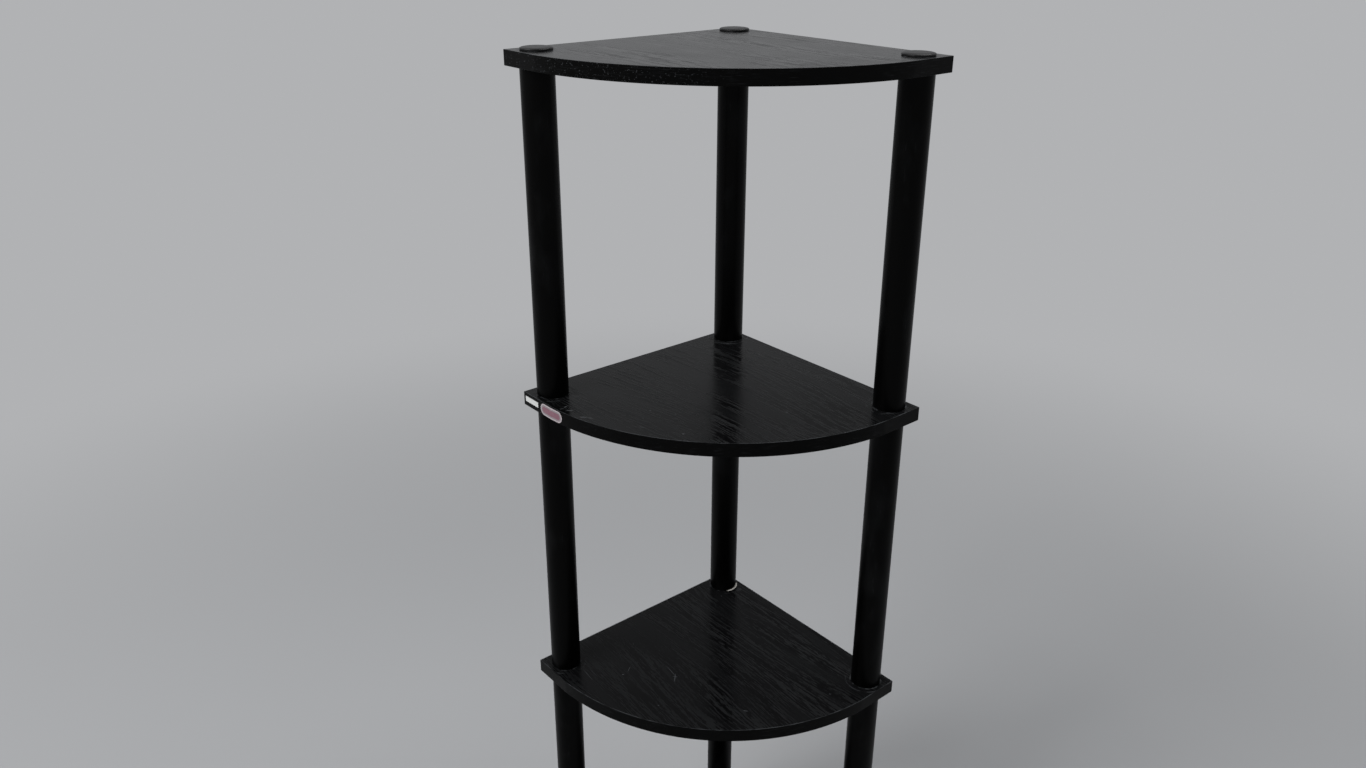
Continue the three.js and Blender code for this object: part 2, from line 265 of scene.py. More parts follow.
class StudioSettings(bpy.types.PropertyGroup):
    """Camera and light"""

    eye: position("Camera place", "Where the picture was taken from", (0.058, -1.1211, 1.2409))
    lens: number("Lens", "Focal length", 29.24, unit="CAMERA")
    heading: number("Heading", "Turn to the left of +Y", 0.0898, subtype="ANGLE")
    dip: number("Dip", "Tilt below the horizon", 0.4171, subtype="ANGLE")
    roll: number("Roll", "Turn about the view", 0.0028, subtype="ANGLE")
    key_place: position("Key place", "Soft lamp on the left, in front", (-1.9, -1.5, 2.6))
    key_power: number("Key power", "Power of the lamp on the left", 60, unit="POWER")
    fill_place: position("Fill place", "Soft lamp high on the right", (0.9, 0.5, 3.2))
    fill_power: number("Fill power", "Power of the lamp on the right", 34, unit="POWER")
    lamp_width: length("Lamp width", "Side of each soft lamp", 1.6)
    aim: position("Aim", "What both lamps point at", (0, 0, 0.6))
    sky: number("Room light", "Even light from all round", 0.4)
    low_sky: number("Low room light", "Light from just above the floor, in room lights", 1.3)
    right_shade: number("Right shade", "Share of the light that the upper right lacks", 0.84)
    front_share: number("Front share", "Share of the light that the camera's side has", 0.6)
    backdrop: number("Backdrop", "Strength of the backdrop at eye level", 0.93)
    high_backdrop: number("High backdrop", "Strength of the backdrop higher up", 0.86)
    floor_radius: length("Floor radius", "Radius of the floor", 30)
    floor_steps: steps("Floor steps", "Steps round the floor", 64)
    floor_near: length("Near floor", "Out to here the floor takes light and shadow", 0.7)
    floor_far: length("Far floor", "From here on the camera sees the even backdrop", 2.3)


class CornerShelf(bpy.types.PropertyGroup):
    """Everything that a user may change"""

    shelf: PointerProperty(type=ShelfSizes)
    column: PointerProperty(type=ColumnSizes)
    label: PointerProperty(type=LabelSizes)
    finish: PointerProperty(type=Finishes)
    studio: PointerProperty(type=StudioSettings)


# Meshes


def finish_piece(name, bm, materials, replaced):
    """Turn a bmesh into a piece: normals out, flat faces kept flat, riding on the unit."""
    bmesh.ops.remove_doubles(bm, verts=bm.verts[:], dist=MERGE)
    bmesh.ops.recalc_face_normals(bm, faces=bm.faces[:])
    mesh = bpy.data.meshes.new(name)
    bm.to_mesh(mesh)
    bm.free()
    for material in materials:
        mesh.materials.append(material)
    mesh.shade_smooth()
    mesh.set_sharp_from_angle(angle=SHARP)
    piece = bpy.data.objects.new(name, mesh)
    bpy.context.scene.collection.objects.link(piece)
    shading = piece.modifiers.new("Flat faces stay flat", "WEIGHTED_NORMAL")
    shading.keep_sharp = True
    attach(piece, BODY)
    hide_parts(replaced)
    return piece


def raise_faces(bm, faces, height):
    """Extrude faces straight up and return the moved ones."""
    grown = bmesh.ops.extrude_face_region(bm, geom=faces, use_keep_orig=True)["geom"]
    corners = [part for part in grown if isinstance(part, bmesh.types.BMVert)]
    bmesh.ops.translate(bm, verts=corners, vec=UP * height)
    return [part for part in grown if isinstance(part, bmesh.types.BMFace)]


def soften(bm, edges, radius, segments=3):
    """Round edges over, as a scraper or a mould leaves them."""
    return bmesh.ops.bevel(
        bm,
        geom=edges,
        offset=radius,
        offset_type="OFFSET",
        segments=segments,
        profile=0.5,
        affect="EDGES",
        material=-1,
        clamp_overlap=True,
    )


def front_circle(shelf):
    """The curved front's centre, half angle and radius, from the facets' ends and its middle."""
    end = LEFT_TIP + ALONG_LEFT_FACET * shelf.facet
    bulge = end.y - OUTLINE_LOW.y
    radius = (end.x**2 + bulge**2) / (2 * bulge)
    centre = Vector((0, OUTLINE_LOW.y + radius, 0))
    return centre, math.atan2(-end.x, centre.y - end.y), radius


def outline_face(bm, shelf, height):
    """The shelf's outline as one face at a height: two straight sides, two facets and the front."""
    centre, half_angle, _ = front_circle(shelf)
    lift = UP * height
    first = bm.verts.new(LEFT_TIP + ALONG_LEFT_FACET * shelf.facet + lift)
    swept = bmesh.ops.spin(
        bm,
        geom=[first],
        cent=centre + lift,
        axis=UP,
        dvec=(0, 0, 0),
        angle=2 * half_angle,
        steps=shelf.front_steps,
        use_duplicate=False,
    )
    chain = [part for part in swept["geom_last"] if isinstance(part, bmesh.types.BMVert)]
    for place in (RIGHT_TIP, BACK_CORNER, LEFT_TIP):
        chain.append(bm.verts.new(place + lift))
    chain.append(first)
    for start, end in zip(chain, chain[1:]):
        bm.edges.new((start, end))
    bmesh.ops.contextual_create(bm, geom=bm.edges[:])
    bm.faces.ensure_lookup_table()
    return bm.faces[0]


def inset(bm, face, width):
    """Inset one face and return the ring of new faces round it."""
    return bmesh.ops.inset_region(
        bm, faces=[face], thickness=width, depth=0, use_boundary=True, use_even_offset=True
    )["faces"]


def board_mesh(shelf, height, thickness):
    """Chipboard core inside the edge band, with a hole at each column."""
    bm = bmesh.new()
    core = outline_face(bm, shelf, height)
    ring = inset(bm, core, shelf.band_thickness)
    bmesh.ops.delete(bm, geom=ring, context="FACES")
    bmesh.ops.delete(bm, geom=[core], context="FACES_ONLY")
    for axis in COLUMNS.values():
        bmesh.ops.create_circle(
            bm,
            radius=shelf.hole_radius,
            segments=shelf.hole_steps,
            matrix=Matrix.Translation(axis + UP * height),
        )
    bmesh.ops.triangle_fill(bm, edges=bm.edges[:], use_beauty=True, normal=UP)
    raise_faces(bm, bm.faces[:], thickness)
    return bm


def two_largest(faces):
    return sorted(faces, key=lambda face: face.calc_area())[-2:]


def band_mesh(shelf, height, thickness):
    """The plastic strip round a board, its ends meeting on the left straight side."""
    bm = bmesh.new()
    raise_faces(bm, [outline_face(bm, shelf, height)], thickness)
    ends = (LEFT_TIP, RIGHT_TIP, BACK_CORNER)
    folds = [
        edge
        for edge in bm.edges
        if min((edge.verts[0].co - end).xy.length for end in ends) < TOUCH
        and abs(edge.verts[0].co.z - edge.verts[1].co.z) > thickness / 2
    ]
    soften(bm, folds, shelf.band_fold)
    rims = {edge for face in two_largest(bm.faces) for edge in face.edges}
    soften(bm, list(rims), shelf.band_rounding)
    faces = two_largest(bm.faces)
    for face in faces:
        inset(bm, face, shelf.band_thickness - shelf.band_rounding)
    bmesh.ops.delete(bm, geom=faces, context="FACES")
    bmesh.ops.bridge_loops(bm, edges=[edge for edge in bm.edges if edge.is_boundary])
    cut_joint(bm, shelf)
    return bm


def cut_joint(bm, shelf):
    """Cut the narrow gap between a band's two ends and close them."""
    along = (LEFT_TIP - BACK_CORNER).normalized()
    middle = BACK_CORNER + along * shelf.band_joint_place
    half_gap = shelf.band_joint / 2
    for shift in (-half_gap, half_gap):
        near = [face for face in bm.faces if face.calc_center_median().x < 0]
        near = [face for face in near if abs(face.normal.xy.dot(along.xy)) < ALONGSIDE]
        edges = {edge for face in near for edge in face.edges}
        corners = {corner for face in near for corner in face.verts}
        parts = [*near, *edges, *corners]
        bmesh.ops.bisect_plane(bm, geom=parts, plane_co=middle + along * shift, plane_no=along)
    gap = []
    for face in bm.faces:
        centre = face.calc_center_median()
        if centre.x < 0 and abs((centre - middle).xy.dot(along.xy)) < half_gap - TOUCH / 2:
            gap.append(face)
    bmesh.ops.delete(bm, geom=gap, context="FACES")
    bmesh.ops.holes_fill(bm, edges=[edge for edge in bm.edges if edge.is_boundary])


def turned(bm, profile, axis, round_steps):
    """Turn a closed or axis-to-axis profile of radius and height pairs about an upright axis."""
    corners = [bm.verts.new(axis + Vector((radius, 0, height))) for radius, height in profile]
    closed = profile[0][0] > 0
    pairs = list(zip(corners, corners[1:])) + ([(corners[-1], corners[0])] if closed else [])
    edges = [bm.edges.new(pair) for pair in pairs]
    bmesh.ops.spin(
        bm,
        geom=corners + edges,
        cent=axis,
        axis=UP,
        dvec=(0, 0, 0),
        angle=2 * math.pi,
        steps=round_steps,
        use_merge=True,
        use_duplicate=False,
    )
    bmesh.ops.remove_doubles(bm, verts=bm.verts[:], dist=MERGE)


def rings_at(bm, axis, radius, heights):
    """The edges of the circles with a radius, at certain heights."""
    return [
        edge
        for edge in bm.edges
        if all(
            abs((corner.co - axis).xy.length - radius) < TOUCH
            and min(abs(corner.co.z - height) for height in heights) < TOUCH
            for corner in edge.verts
        )
    ]


def tube_mesh(column, axis, base, head):
    """A plain round tube with broken edges at its ends."""
    bm = bmesh.new()
    bore = TUBE_RADIUS - column.wall
    profile = [(bore, base), (TUBE_RADIUS, base), (TUBE_RADIUS, head), (bore, head)]
    turned(bm, profile, axis, column.round_steps)
    soften(bm, rings_at(bm, axis, TUBE_RADIUS, (base, head)), column.end_rounding)
    return bm


def add_thread(bm, column, axis, start):
    """The helical ridge of a stud, a closed body let into its core."""
    root = column.stud_core - column.thread_let_in
    root_half = column.thread_root_width / 2
    crest_half = column.thread_crest_width / 2
    section = [(root, -root_half), (root, root_half)]
    section += [(column.thread_crest, crest_half), (column.thread_crest, -crest_half)]
    corners = [bm.verts.new(axis + Vector((r, 0, start + z))) for r, z in section]
    face = bm.faces.new(corners)
    turn_steps = round(column.thread_steps * column.thread_turns)
    bmesh.ops.spin(
        bm,
        geom=[face, *face.edges, *corners],
        cent=axis,
        axis=UP,
        dvec=UP * (column.thread_pitch * column.thread_turns / turn_steps),
        angle=2 * math.pi * column.thread_turns,
        steps=turn_steps,
        use_duplicate=False,
    )


def cap_mesh(column, axis):
    """A low head on a plain shank with a short coarse thread below it."""
    bm = bmesh.new()
    rim = CAP_SEAT + column.cap_rim
    crown = CAP_HIGH.z
    tip = CAP_LOW.z
    thread_top = tip + column.stud_engagement
    dome = []
    for step in range(1, column.cap_steps):
        rise = math.pi / 2 * step / column.cap_steps
        across = CAP_RADIUS * math.cos(rise) ** column.cap_roundness
        dome.append((across, rim + (crown - rim) * math.sin(rise)))
    profile = [
        (0, tip),
        (column.stud_core - column.stud_chamfer, tip),
        (column.stud_core, tip + column.stud_chamfer),
        (column.stud_core, thread_top),
        (column.stud_shank, thread_top + column.stud_shank - column.stud_core),
        (column.stud_shank, CAP_SEAT),
        (CAP_RADIUS, CAP_SEAT),
        (CAP_RADIUS, rim),
        *dome,
        (0, crown),
    ]
    turned(bm, profile, axis, column.round_steps // 2)
    soften(bm, rings_at(bm, axis, CAP_RADIUS, (CAP_SEAT,)), column.cap_rounding)
    add_thread(bm, column, axis, tip + column.thread_start)
    return bm


def foot_mesh(column, axis):
    """A plain round foot with the hole for the lowest stud in its top."""
    bm = bmesh.new()
    bore = column.thread_crest + column.thread_clearance
    floor = FOOT_HEIGHT - column.socket_depth
    profile = [(0, 0), (TUBE_RADIUS, 0), (TUBE_RADIUS, FOOT_HEIGHT), (bore, FOOT_HEIGHT)]
    profile += [(bore, floor), (0, floor)]
    turned(bm, profile, axis, column.round_steps)
    soften(bm, rings_at(bm, axis, TUBE_RADIUS, (0,)), column.foot_chamfer)
    soften(bm, rings_at(bm, axis, TUBE_RADIUS, (FOOT_HEIGHT,)), column.end_rounding)
    return bm


def on_left_edge(shelf, distance, outward):
    """A place off the left front edge, at a distance along it from the tip."""
    if distance <= shelf.facet:
        return LEFT_TIP + ALONG_LEFT_FACET * distance + OFF_LEFT_FACET * outward
    centre, half_angle, radius = front_circle(shelf)
    angle = (distance - shelf.facet) / radius - half_angle
    grown = radius + outward
    return centre + Vector((grown * math.sin(angle), -grown * math.cos(angle), 0))


def bend_round_edge(bm, shelf, middle):
    """Bend a sticker drawn flat (along X, up Y, out Z) round the left front edge."""
    for corner in bm.verts:
        place = on_left_edge(shelf, corner.co.x, corner.co.z)
        corner.co = place + UP * (middle + corner.co.y)


def slice_along(bm, start, end, slices):
    """Cut a flat sticker across, so that it can bend."""
    for cut in range(1, slices):
        at = Vector((start + (end - start) * cut / slices, 0, 0))
        parts = bm.faces[:] + bm.edges[:] + bm.verts[:]
        bmesh.ops.bisect_plane(bm, geom=parts, plane_co=at, plane_no=Vector((1, 0, 0)))


def soften_corners(bm, radius, corner_steps):
    """Round a flat sticker's four corners."""
    bmesh.ops.bevel(
        bm,
        geom=bm.verts[:],
        offset=radius,
        offset_type="OFFSET",
        segments=corner_steps,
        profile=0.5,
        affect="VERTICES",
        material=-1,
    )


# Materials


MIX_A, MIX_B = 6, 7  # the colour inputs of a Mix node


def feed(node, inputs):
    """Set or link a node's inputs. Each is a value, a node or one of a node's outputs."""
    for socket, value in inputs.items() if isinstance(inputs, dict) else enumerate(inputs):
        if isinstance(value, bpy.types.Node):
            value = next(output for output in value.outputs if output.enabled)
        if isinstance(value, bpy.types.NodeSocket):
            node.id_data.links.new(value, node.inputs[socket])
        else:
            node.inputs[socket].default_value = value


def add_node(tree, kind, inputs=(), **options):
    """Add a node with its options and its inputs."""
    made = tree.nodes.new("ShaderNode" + kind)
    for name, value in options.items():
        setattr(made, name, value)
    feed(made, inputs)
    return made


def start_material(name, specular):
    """A named Principled material, its shader, a short way to add nodes and its coordinates."""
    material = bpy.data.materials.new(name)
    material.use_nodes = True
    tree = material.node_tree
    shader = tree.nodes["Principled BSDF"]
    shader.inputs["Specular IOR Level"].default_value = specular
    add = partial(add_node, tree)
    return material, shader, add, add("TexCoord").outputs["Object"]


def surface(shader, tone, dull, height, depth):
    """Give a shader its colour and roughness, and a bump that is so many metres deep."""
    bump = add_node(shader.id_data, "Bump", {"Strength": 1.0, "Distance": depth, "Height": height})
    feed(shader, {"Base Color": tone, "Roughness": dull, "Normal": bump})


def pattern(add, place, lengths_mm, detail=2.0):
    """Noise whose spots are that many millimetres long in X, Y and Z."""
    scale = [1000 / size for size in lengths_mm]
    scaled = add("Mapping", {"Vector": place, "Scale": scale})
    return add("TexNoise", {"Vector": scaled, "Scale": 1.0, "Detail": detail})


def facing_up(add):
    """1 on faces that look up, where dust and scuffs gather, and where the painted highlights go.
    """
    upward = add("SeparateXYZ", [add("NewGeometry").outputs["Normal"]]).outputs["Z"]
    return add("MapRange", [upward, 0.6, 0.9])


def worn_marks(add, place):
    """The specks, nicks and hooked scratches on the two middle boards, each a thin soft ellipse."""
    total = 0.0
    for level, across, back, long, wide, turn, strength in MARKS:
        centre = Vector((across * MM, BACK_CORNER.y + back * MM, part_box(f"shelf_{level}")[1].z))
        inputs = {
            "Vector": place,
            "Location": centre,
            "Rotation": (0, 0, math.radians(turn)),
            "Scale": (long * MM / 2, wide * MM / 2, MARK_REACH),
        }
        local = add("Mapping", inputs, vector_type="TEXTURE")
        away = add("VectorMath", [local], operation="LENGTH").outputs["Value"]
        mark = add("MapRange", [away, 1.1, 0.6, 0.0, strength])
        total = add("Math", [total, mark], operation="MAXIMUM")
    return total


def rubbed_rings(add, place):
    """Broken pale arcs round each column's foot, from screwing the tubes tight."""
    total = 0.0
    for axis in COLUMNS.values():
        centred = add("Mapping", {"Vector": place, "Location": -axis, "Scale": (1, 1, 0)})
        away = add("VectorMath", [centred], operation="LENGTH").outputs["Value"]
        inner = add("MapRange", [away, TUBE_RADIUS + RUB_FAR, TUBE_RADIUS + RUB_NEAR])
        outer = add("Math", [away, TUBE_RADIUS + OUTER_RUB, OUTER_RUB_WIDTH], operation="COMPARE")
        ring = add("Math", [outer, 0.5, inner], operation="MULTIPLY_ADD")
        total = add("Math", [total, ring], operation="MAXIMUM")
    patches = add("MapRange", [pattern(add, place, (8, 8, 8), detail=3.0), 0.5, 0.66, 0.0, 0.6])
    return add("Math", [total, patches], operation="MULTIPLY")


def loose_specks(add, place):
    """Small pale specks of dust and paint, one in each of a few cells."""
    cells = {"Vector": place, "Scale": 1 / SPECK_CELL, "Randomness": 1.0}
    spots = add("TexVoronoi", cells, feature="F1")
    dot = add("MapRange", [spots.outputs["Distance"], 0.042, 0.02])
    picked = add("SeparateColor", [spots.outputs["Color"]]).outputs["Red"]
    picked = add("MapRange", [picked, 0.86, 0.9, 0.0, 0.5])
    return add("Math", [dot, picked], operation="MULTIPLY")


def painted_highlight_crescent(add, place):
    """Painted highlight: a pale crescent round the right of the back column, on the lower board."""
    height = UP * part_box("shelf_lower")[1].z
    centre = COLUMNS["back"] + CRESCENT_SHIFT + height
    centred = add("Mapping", {"Vector": place, "Location": -centre})
    parts = add("SeparateXYZ", [centred]).outputs
    away = add("VectorMath", [centred], operation="LENGTH").outputs["Value"]
    ragged = pattern(add, place, (2.5, 2.5, 2.5))
    away = add("Math", [ragged, CRESCENT_RAGGEDNESS, away], operation="MULTIPLY_ADD")
    edge = TUBE_RADIUS + CRESCENT_EDGE
    ring = add("MapRange", [away, edge + CRESCENT_FADE, edge])
    side = add("Math", [parts["Y"], parts["X"]], operation="ARCTAN2")
    side = add("Math", [side, CRESCENT_MIDDLE], operation="SUBTRACT")
    side = add("Math", [side], operation="ABSOLUTE")
    within = add("MapRange", [side, CRESCENT_HALF_ANGLE, CRESCENT_HALF_ANGLE - CRESCENT_END_FADE])
    return add("Math", [ring, within], operation="MULTIPLY")


def oak_lines(add, place):
    """The plate's raised lines, and how strongly each flame-shaped patch of them shows.

    One line is about 0.3 mm wide, too fine to show. They are drawn about 2 mm wide, as bundles of
    them look from the camera's place.
    """
    grain = add("Mapping", {"Vector": place, "Rotation": (0, 0, GRAIN_TURN)})
    axes = add("SeparateXYZ", [grain]).outputs
    wander = pattern(add, grain, (300, 110, 400), detail=0.0)
    across = add("Math", [wander, 60 * MM, axes["Y"]], operation="MULTIPLY_ADD")
    ripple = pattern(add, grain, (60, 17, 100), detail=1.0)
    across = add("Math", [ripple, 4 * MM, across], operation="MULTIPLY_ADD")
    warped = add("CombineXYZ", [axes["X"], across, axes["Z"]])
    ridges = pattern(add, warped, (42, 2.3, 300))
    fibres = pattern(add, warped, (9, 1.6, 100), detail=1.0)
    lines = add("Math", [fibres, 0.5, ridges], operation="MULTIPLY_ADD")
    raised = add("MapRange", [lines, 0.7, 0.88], interpolation_type="SMOOTHSTEP")
    # Between the flames the lines all but fade
    flame = add("MapRange", [pattern(add, warped, (230, 32, 400)), 0.41, 0.55, 0.12, 1.0])
    # The top board lies open, and a film of dust evens its grain
    dusted = add("MapRange", [axes["Z"], 0.9, 1.0, 1.0, 0.35])
    return raised, add("Math", [flame, dusted], operation="MULTIPLY")


def embossed_laminate(finish):
    """Melamine foil pressed with an oak plate.

    Near-black foil, so smooth that it mirrors a pale room at a glance. Short raised lines run
    across it in flames. They are a little paler and much duller than the gloss between them, and
    break the mirror image up.
    """
    material, shader, add, place = start_material("embossed_oak_laminate", specular=0.115)
    raised, flame = oak_lines(add, place)
    lines = add("Math", [raised, -0.35], operation="ADD")
    lines = add("Math", [lines, flame, 0.35], operation="MULTIPLY_ADD")
    tone = add("Mix", {0: lines, MIX_A: finish.pore, MIX_B: finish.laminate}, data_type="RGBA")

    top = facing_up(add)
    marks = add("Math", [loose_specks(add, place), worn_marks(add, place)], operation="MAXIMUM")
    marks = add("Math", [marks, rubbed_rings(add, place)], operation="MAXIMUM")
    marks = add("Math", [marks, top], operation="MULTIPLY")
    tone = add("Mix", {0: marks, MIX_A: tone, MIX_B: finish.scuff_and_highlight}, data_type="RGBA")
    # Painted highlight: a pale crescent by the back column on the lower board, on upward faces only
    highlight_crescent_mask = add("Math", [painted_highlight_crescent(add, place), top], operation="MULTIPLY")
    tone = add("Mix", {0: highlight_crescent_mask, MIX_A: tone, MIX_B: finish.crescent_highlight}, data_type="RGBA")

    cloud = pattern(add, place, (45, 45, 45), detail=3.0)
    dull = add("Math", [cloud, 0.06, 0.08], operation="MULTIPLY_ADD")
    dull = add("Math", [lines, 0.34, dull], operation="MULTIPLY_ADD")
    dull = add("Math", [marks, 0.3, dull], operation="MULTIPLY_ADD")
    relief = add("Math", [raised, flame], operation="MULTIPLY")
    # The painted highlight crescent also sinks a little in the bump
    relief = add("Math", [highlight_crescent_mask, -2.0, relief], operation="MULTIPLY_ADD")
    surface(shader, tone, dull, relief, depth=0.08 * MM)
    return material


def edge_band_plastic(finish):
    """ABS edge strip, embossed along its length.

    Satin black. Its upper arris is scraped flush and a little rubbed, and carries a painted
    highlight on its upward faces. The left of the highest strip is pitted with pale specks.
    """
    material, shader, add, place = start_material("embossed_abs_edge_strip", specular=0.06)
    fibre = pattern(add, place, (13, 13, 0.8))
    dashes = add("MapRange", [fibre, 0.56, 0.7])
    patches = add("MapRange", [pattern(add, place, (40, 40, 40)), 0.45, 0.68, 0.05, 0.6])
    rubbed = add("Math", [dashes, patches], operation="MULTIPLY")
    tone = add("Mix", {0: rubbed, MIX_A: finish.band, MIX_B: finish.dust}, data_type="RGBA")

    # Painted highlight along the upward faces of the arris, with a little real rubbing in it
    arris = add("MapRange", [pattern(add, place, (14, 14, 14)), 0.38, 0.6, 0.15, 0.7])
    arris = add("Math", [arris, facing_up(add)], operation="MULTIPLY")
    specks = add("MapRange", [pattern(add, place, (1.8, 1.8, 1.3)), 0.64, 0.71, 0.0, 0.55])
    axes = add("SeparateXYZ", [place]).outputs
    leftward = add("MapRange", [axes["X"], 0.02, -0.04])
    highest = add("MapRange", [axes["Z"], 0.8, 1.0, 0.15, 1.0])
    specks = add("Math", [specks, leftward], operation="MULTIPLY")
    specks = add("Math", [specks, highest], operation="MULTIPLY")
    # The pale specks together with the painted arris highlight
    worn = add("Math", [specks, arris], operation="MAXIMUM")
    tone = add("Mix", {0: worn, MIX_A: tone, MIX_B: finish.scuff_and_highlight}, data_type="RGBA")
    dull = add("Math", [dashes, 0.14, 0.3], operation="MULTIPLY_ADD")
    surface(shader, tone, dull, fibre, depth=0.1 * MM)
    return material


def extruded_tube(finish):
    """Extruded black PVC tube: satin, with faint lines drawn along it and a few rubbed patches.

    The die's lines are about 0.3 mm apart. They are drawn at 1.5 mm, so that they show.
    """
    material, shader, add, place = start_material("extruded_pvc_tube", specular=0.06)
    drawn = pattern(add, place, (1.5, 1.5, 500))
    cloud = add("MapRange", [pattern(add, place, (28, 28, 70), detail=3.0), 0.52, 0.8])
    scratches = pattern(add, place, (1.1, 1.1, 24), detail=3.0)
    scratches = add("MapRange", [scratches, 0.66, 0.74, 0.06, 0.5])
    worn = add("Math", [cloud, scratches], operation="MULTIPLY")
    tone = add("Mix", {0: worn, MIX_A: finish.tube, MIX_B: finish.scuff_and_highlight}, data_type="RGBA")
    dull = add("Math", [drawn, 0.14, 0.28], operation="MULTIPLY_ADD")
    surface(shader, tone, dull, drawn, depth=0.03 * MM)
    return material


def moulded_plastic(finish):
    """Black ABS moulded in a spark-eroded tool: matt, and dusty where it lies flat.

    The tool's grain is about 0.1 mm. It is drawn at 0.5 mm, so that it shows.
    """
    material, shader, add, place = start_material("moulded_abs", specular=0.38)
    texture = pattern(add, place, (0.5, 0.5, 0.5))
    cloud = pattern(add, place, (7, 7, 7), detail=3.0)
    dust = add("MapRange", [cloud, 0.35, 0.75, 0.1, 0.5])
    dust = add("Math", [dust, facing_up(add)], operation="MULTIPLY")
    tone = add("Mix", {0: dust, MIX_A: finish.moulded, MIX_B: finish.dust}, data_type="RGBA")
    dull = add("Math", [cloud, 0.14, 0.3], operation="MULTIPLY_ADD")
    surface(shader, tone, dull, texture, depth=0.02 * MM)
    return material


def sticker(name, tint, worn_tint, roughness):
    """Printed sticker paper: an even colour with a faint mottle, faded in soft patches.

    Bare paper is dull, plain ink less so, and silver ink is satin.
    """
    material, shader, add, place = start_material(name, specular=0.4)
    mottle = pattern(add, place, (1.4, 1.4, 1.4), detail=3.0)
    worn = add("MapRange", [pattern(add, place, (5, 5, 5), detail=3.0), 0.42, 0.7, 0.0, 0.5])
    darker = [value * 0.88 for value in tint[:3]] + [1.0]
    tone = add("Mix", {0: mottle, MIX_A: darker, MIX_B: tint}, data_type="RGBA")
    tone = add("Mix", {0: worn, MIX_A: tone, MIX_B: worn_tint}, data_type="RGBA")
    surface(shader, tone, roughness, mottle, depth=0.02 * MM)
    return material


def backdrop_rays(add):
    """1 for the rays that show the backdrop: the camera's own, reflected ones and clear ones."""
    rays = add("LightPath").outputs
    seen = add("Math", [rays["Is Camera Ray"], rays["Is Glossy Ray"]], operation="ADD")
    return add("Math", [seen, rays["Is Transmission Ray"]], operation="ADD", use_clamp=True)


def studio_floor(finish, studio):
    """Pale seamless paper. Near the unit it takes light and shadow, and far off it is even."""
    material, shader, add, place = start_material("studio_floor", specular=0.1)
    mottle = pattern(add, place, (600, 600, 600), detail=3.0)
    paler = [value * 1.04 for value in finish.floor[:3]] + [1.0]
    tone = add("Mix", {0: mottle, MIX_A: finish.floor, MIX_B: paler}, data_type="RGBA")
    surface(shader, tone, 0.95, mottle, depth=0.2 * MM)
    away = add("VectorMath", [place], operation="LENGTH").outputs["Value"]
    spread = [away, studio.floor_near, studio.floor_far]
    far = add("MapRange", spread, interpolation_type="SMOOTHSTEP")
    even = add("Math", [far, backdrop_rays(add)], operation="MULTIPLY")
    plain = add("Emission", {"Color": finish.floor, "Strength": studio.backdrop})
    mixed = add("MixShader", [even, shader, plain])
    feed(material.node_tree.nodes["Material Output"], {"Surface": mixed})
    return material


# Operators


def settings(context):
    return context.scene.corner_shelf


class SHELF_OT_studio(bpy.types.Operator):
    """Floor, soft light and a camera at the photograph's angle"""

    bl_idname = "corner_shelf.studio"
    bl_label = "Studio"

    def execute(self, context):
        scene = context.scene
        finish, studio = settings(context).finish, settings(context).studio
        scene.view_settings.view_transform = "Standard"
        self.add_camera(scene, studio)
        self.add_floor(scene, finish, studio)
        self.add_room(scene, finish, studio)
        self.add_lamp(scene, "key", studio.key_power, studio.key_place, studio)
        self.add_lamp(scene, "fill", studio.fill_power, studio.fill_place, studio)
        return {"FINISHED"}

    def add_camera(self, scene, studio):
        data = bpy.data.cameras.new("camera")
        data.lens = studio.lens
        data.sensor_width = SENSOR_WIDTH
        camera = bpy.data.objects.new("camera", data)
        turn = Matrix.Rotation(studio.heading, 4, "Z")
        tilt = Matrix.Rotation(math.pi / 2 - studio.dip, 4, "X")
        roll = Matrix.Rotation(studio.roll, 4, "Z")
        camera.matrix_world = Matrix.Translation(studio.eye) @ turn @ tilt @ roll
        scene.collection.objects.link(camera)
        scene.camera = camera

    def add_floor(self, scene, finish, studio):
        radius = studio.floor_radius
        bm = bmesh.new()
        bmesh.ops.create_circle(bm, cap_ends=True, radius=radius, segments=studio.floor_steps)
        mesh = bpy.data.meshes.new("floor")
        bm.to_mesh(mesh)
        bm.free()
        mesh.materials.append(studio_floor(finish, studio))
        floor = bpy.data.objects.new("floor", mesh)
        scene.collection.objects.link(floor)

    def add_room(self, scene, finish, studio):
        """Soft light all round, brighter low down and dimmer at the upper right and in front.

        The camera and reflections see a plain backdrop instead, with the same dim upper right.
        """
        world = bpy.data.worlds.new("soft_room")
        world.use_nodes = True
        tree = world.node_tree
        tree.nodes.clear()
        add = partial(add_node, tree)
        direction = add("SeparateXYZ", [add("TexCoord").outputs["Generated"]]).outputs
        rightward = add("MapRange", [direction["X"], -0.16, 0.12])
        upward = add("MapRange", [direction["Z"], 0.2, 0.6, 0.0, studio.right_shade])
        shade = add("Math", [rightward, upward], operation="MULTIPLY")
        bright = add("Math", [1.0, shade], operation="SUBTRACT")

        low = studio.low_sky * studio.sky
        light = add("MapRange", [direction["Z"], 0.08, 0.24, low, studio.sky])
        light = add("Math", [light, bright], operation="MULTIPLY")
        frontward = add("MapRange", [direction["Y"], -0.7, 0.1, studio.front_share, 1.0])
        light = add("Math", [light, frontward], operation="MULTIPLY")
        lit = add("Background", {"Color": finish.daylight, "Strength": light})

        heights = [direction["Z"], 0.14, 0.3, studio.backdrop, studio.high_backdrop]
        plain = add("Math", [add("MapRange", heights), bright], operation="MULTIPLY")
        seen = add("Background", {"Color": finish.floor, "Strength": plain})
        add("OutputWorld", [add("MixShader", [backdrop_rays(add), lit, seen])])
        scene.world = world

    def add_lamp(self, scene, name, power, location, studio):
        data = bpy.data.lights.new(name, "AREA")
        data.energy = power
        data.size = studio.lamp_width
        lamp = bpy.data.objects.new(name, data)
        lamp.location = location
        aim = Vector(studio.aim) - Vector(location)
        lamp.rotation_euler = aim.to_track_quat("-Z", "Y").to_euler()
        scene.collection.objects.link(lamp)


